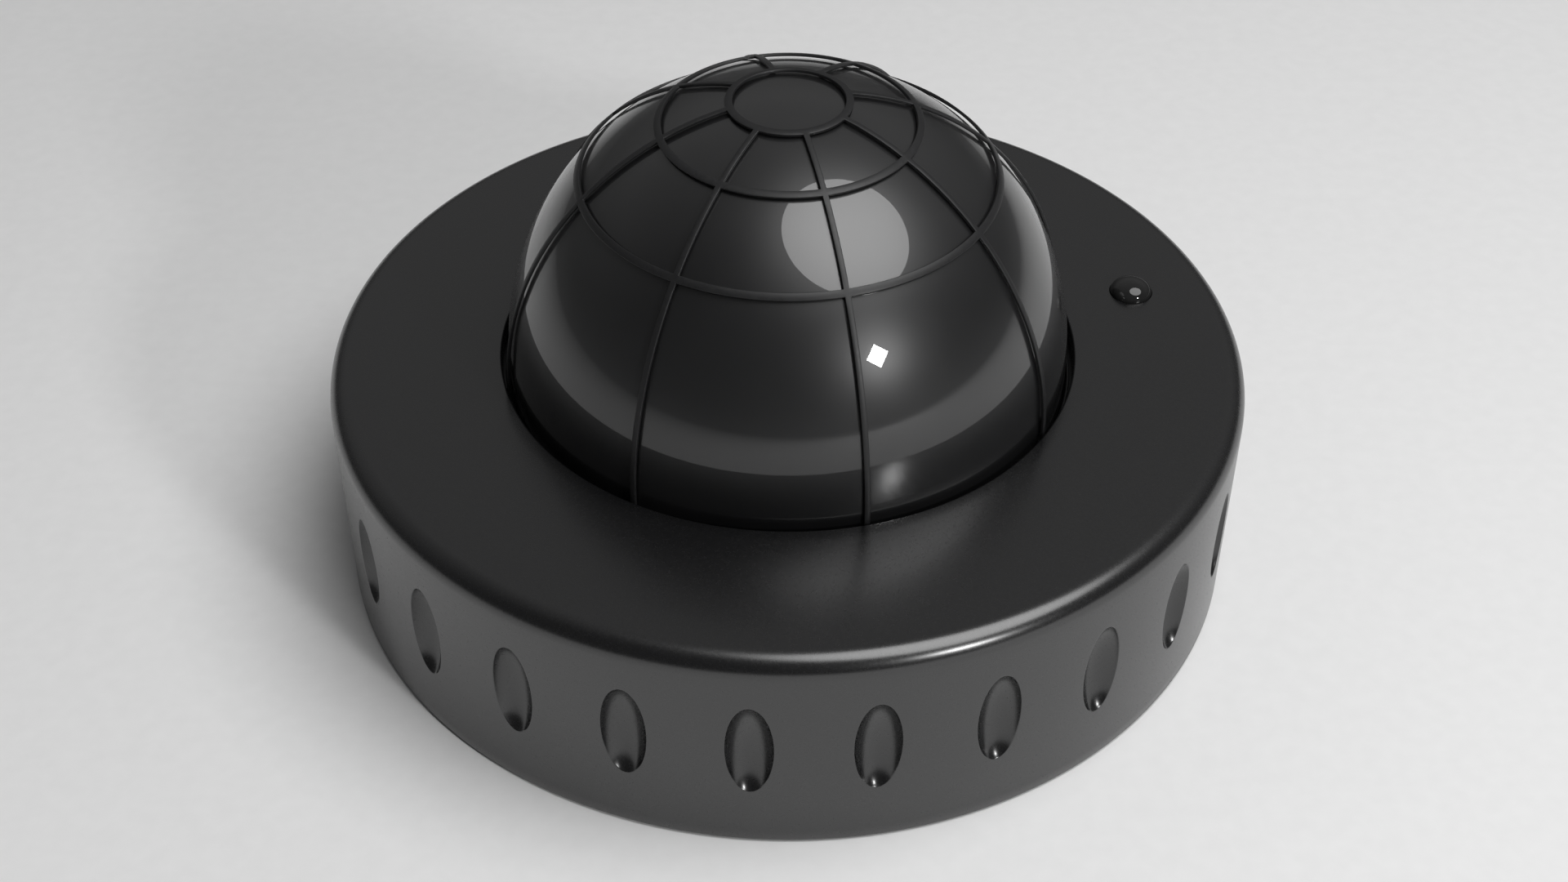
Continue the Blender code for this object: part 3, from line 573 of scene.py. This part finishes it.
dome_shape = bmesh.new()
inner_radius = DOME_RADIUS - DOME_WALL
outline = [(0, COVER_TOP + DOME_RADIUS)] + arc((0, COVER_TOP), DOME_RADIUS, 90, 0, 64)[1:]
flange_radius, flange_low, flange_high = DOME_FLANGE
outline += [(DOME_RADIUS, 35.0), (DOME_RADIUS, 32.5), (DOME_RADIUS + 0.1, 32.2)]
outline += [(DOME_RADIUS + 0.4, flange_high), (flange_radius - 0.2, flange_high)]
outline += [(flange_radius, flange_high - 0.2), (flange_radius, flange_low + 0.2)]
outline += [(flange_radius - 0.2, flange_low), (inner_radius + 0.3, flange_low)]
outline += [(inner_radius, flange_low + 0.3)]
outline += arc((0, COVER_TOP), inner_radius, 0, 90, 48)[:-1] + [(0, COVER_TOP + inner_radius)]
turn_profile(dome_shape, outline, 160)
dome = finished("dome_shell", dome_shape, smoked_dome)
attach(dome, "cover_unit")
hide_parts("dome")


# Status light: a small domed lens of smoked acrylic pressed into the cover's top face, over a lamp on a
# board of its own.
LED_RADIUS = 3.5
LED_RISE = 2.3

# Smoked acrylic: a polished dark grey surface that mirrors the lamps.
smoked_acrylic, acrylic_tree, acrylic_shader = new_material("smoked_acrylic", IOR=1.49)
varied(acrylic_tree, acrylic_shader, ("#1e1e1e", "#232323"), (0.03, 0.05), 200.0, 0.0)

outline = [(0, COVER_TOP + LED_RISE)]
outline += [(r * LED_RADIUS, COVER_TOP + z * LED_RISE) for r, z in arc((0, 0), 1.0, 90, 0, 28)[1:]]
outline += [(LED_RADIUS, COVER_TOP - 0.15), (LED_RADIUS, COVER_TOP - 0.5)]
outline += [(LED_RADIUS - 0.1, COVER_TOP - 0.6), (2.2, COVER_TOP - 0.6)]
outline += [(2.2, 31.1), (2.1, 31.0), (0, 31.0)]
led_shape = bmesh.new()
turn_profile(led_shape, outline, 64)
bmesh.ops.transform(led_shape, matrix=led_place, verts=led_shape.verts)
led_lens = finished("status_lens", led_shape, smoked_acrylic)
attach(led_lens, "cover_unit")
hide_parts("led_lens")


def dress(material, *names):
    """Give CAD nodes a finish of their own."""
    for name in names:
        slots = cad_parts[name].data.materials
        if slots:
            slots[0] = material
        else:
            slots.append(material)


# Base plate, clamp ring and pan base: die-cast zinc alloy, tumbled and left bare, with the plate carrying
# four bayonet hooks and four screw slots.
# Die-cast zinc: light grey metal with a cloudy, slightly dull skin whose mottling is about 2 mm wide.
cast_zinc, cast_tree, cast_shader = new_material("tumbled_die_cast_zinc", Metallic=1.0)
varied(cast_tree, cast_shader, ("#8d8e91", "#a3a4a7"), (0.38, 0.52), 1 / (2.0 * MM), 0.02, detail=8.0)
dress(cast_zinc, "base_plate", "dome_clamp_ring", "pan_base")


# Seals and grommet: moulded EPDM rubber, squeezed between the cover, dome, guard and plate.
# Moulded EPDM: deep black, dull and a little dusty, with a skin of 0.3 mm pores.
epdm_rubber, rubber_tree, rubber_shader = new_material("moulded_epdm_rubber", IOR=1.52)
varied(rubber_tree, rubber_shader, ("#0b0b0b", "#151515"), (0.7, 0.85), 1 / (0.3 * MM), 0.01)
dress(epdm_rubber, "cover_seal", "cable_grommet", "cage_gasket", "dome_gasket", "lens_hood")


# Fasteners and card holder: cold-formed steel, zinc plated and clear passivated.
# Zinc plate: bright blue-grey metal with faint cloudy patches a millimetre wide.
zinc_plate, zinc_tree, zinc_shader = new_material("zinc_plated_steel", Metallic=1.0)
varied(zinc_tree, zinc_shader, ("#b4b8bd", "#cdd0d4"), (0.2, 0.34), 1 / (1.0 * MM), 0.004)
numbered = [f"{name}_{i}" for name in ("board_screw", "dome_clamp_screw") for i in range(1, 5)]
dress(zinc_plate, "card_slot", "led_board_screw", "zoom_ring_lock", "focus_ring_lock", *numbered)
dress(zinc_plate, "yoke_screw_left", "yoke_screw_right", "tilt_pivot_left", "tilt_pivot_right")


# Board posts and lens mount: turned from free-cutting brass.
# Turned brass: warm yellow metal with fine rings left by the tool, 0.15 mm apart and drawn at 0.4 mm.
turned_brass, brass_tree, brass_shader = new_material("turned_brass", Metallic=1.0)
varied(brass_tree, brass_shader, ("#b08d4a", "#c7a45c"), (0.22, 0.36), 1 / (0.4 * MM), 0.006)
dress(turned_brass, "lens_mount", *[f"board_post_{i}" for i in range(1, 5)])


# Boards: four-layer FR-4 laminate under green solder mask, with copper tracks showing as raised lines.
# Solder mask: a glossy green film, lighter over the copper. The tracks are 0.5 mm wide at a 3 mm pitch.
solder_mask, mask_tree, mask_shader = new_material("green_solder_mask_on_fr4", IOR=1.55)
mask_at = add_node(mask_tree, "ShaderNodeTexCoord")
tracks = add_node(
    mask_tree,
    "ShaderNodeTexBrick",
    {
        "Vector": mask_at.outputs["Object"],
        "Scale": 1 / (3.0 * MM),
        "Mortar Size": 0.08,
        "Mortar Smooth": 0.1,
        "Color1": linear("#0d3b22"),
        "Color2": linear("#0f4226"),
        "Mortar": linear("#1d6a3c"),
    },
)
track_rise = add_node(mask_tree, "ShaderNodeBump", {"Height": tracks.outputs["Fac"], "Distance": 0.03 * MM})
mask_tree.links.new(tracks.outputs["Color"], mask_shader.inputs["Base Color"])
mask_tree.links.new(track_rise.outputs["Normal"], mask_shader.inputs["Normal"])
mask_shader.inputs["Roughness"].default_value = 0.28
dress(solder_mask, "main_board", "led_board", "sensor_board")


# Sockets, switches, card and gimbal arms: glass-filled nylon, moulded in black.
# Glass-filled nylon: dark grey-black and dull, with short fibres streaking its skin every 0.6 mm.
black_nylon, nylon_tree, nylon_shader = new_material("glass_filled_black_nylon", IOR=1.53)
varied(nylon_tree, nylon_shader, ("#151516", "#1f1f21"), (0.38, 0.52), 1 / (0.6 * MM), 0.006)
dress(black_nylon, "network_jack", "power_inlet", "reset_switch", "tamper_switch", "memory_card")
dress(black_nylon, "pan_turntable", "yoke_left", "yoke_right", "tilt_cradle", "camera_body", "rear_cap")


# Bearing, buttons and roll ring: acetal, moulded in its own off-white.
# Acetal: milky and waxy, with soft highlights and almost no grain.
white_acetal, acetal_tree, acetal_shader = new_material("natural_white_acetal", IOR=1.48)
varied(acetal_tree, acetal_shader, ("#d3d1c8", "#dddbd3"), (0.3, 0.4), 1 / (1.5 * MM), 0.003)
dress(white_acetal, "pan_bearing", "status_led", "reset_button", "tamper_plunger", "roll_ring")


# Lens barrel and its grip rings: turned aluminium, bead-blasted and anodised black.
# Black anodising: a matte, faintly metallic black with a fine blasted texture of 0.25 mm.
black_anodised, anodised_tree, anodised_shader = new_material("black_anodised_aluminium", Metallic=0.4)
varied(anodised_tree, anodised_shader, ("#121213", "#1a1a1b"), (0.38, 0.48), 1 / (0.25 * MM), 0.005)
dress(black_anodised, "lens_barrel", "zoom_ring", "focus_ring")


# Front glass: a ground and polished crown element with a magenta-green anti-reflection coating.
# Coated glass: almost black from in front, with a faint violet bloom.
coated_glass, glass_tree, glass_shader = new_material("coated_lens_glass", IOR=1.52, Coat_Weight=0.6)
varied(glass_tree, glass_shader, ("#0b0812", "#120c1e"), (0.01, 0.03), 80.0, 0.0)
dress(coated_glass, "front_glass")


# Image sensor: a silicon die under its cover glass.
# Silicon under glass: dark blue-grey with a fine iridescent grid, here 0.4 mm.
silicon, silicon_tree, silicon_shader = new_material("silicon_under_glass", IOR=1.5)
varied(silicon_tree, silicon_shader, ("#1c2030", "#2a2238"), (0.08, 0.14), 1 / (0.4 * MM), 0.0)
dress(silicon, "image_sensor")
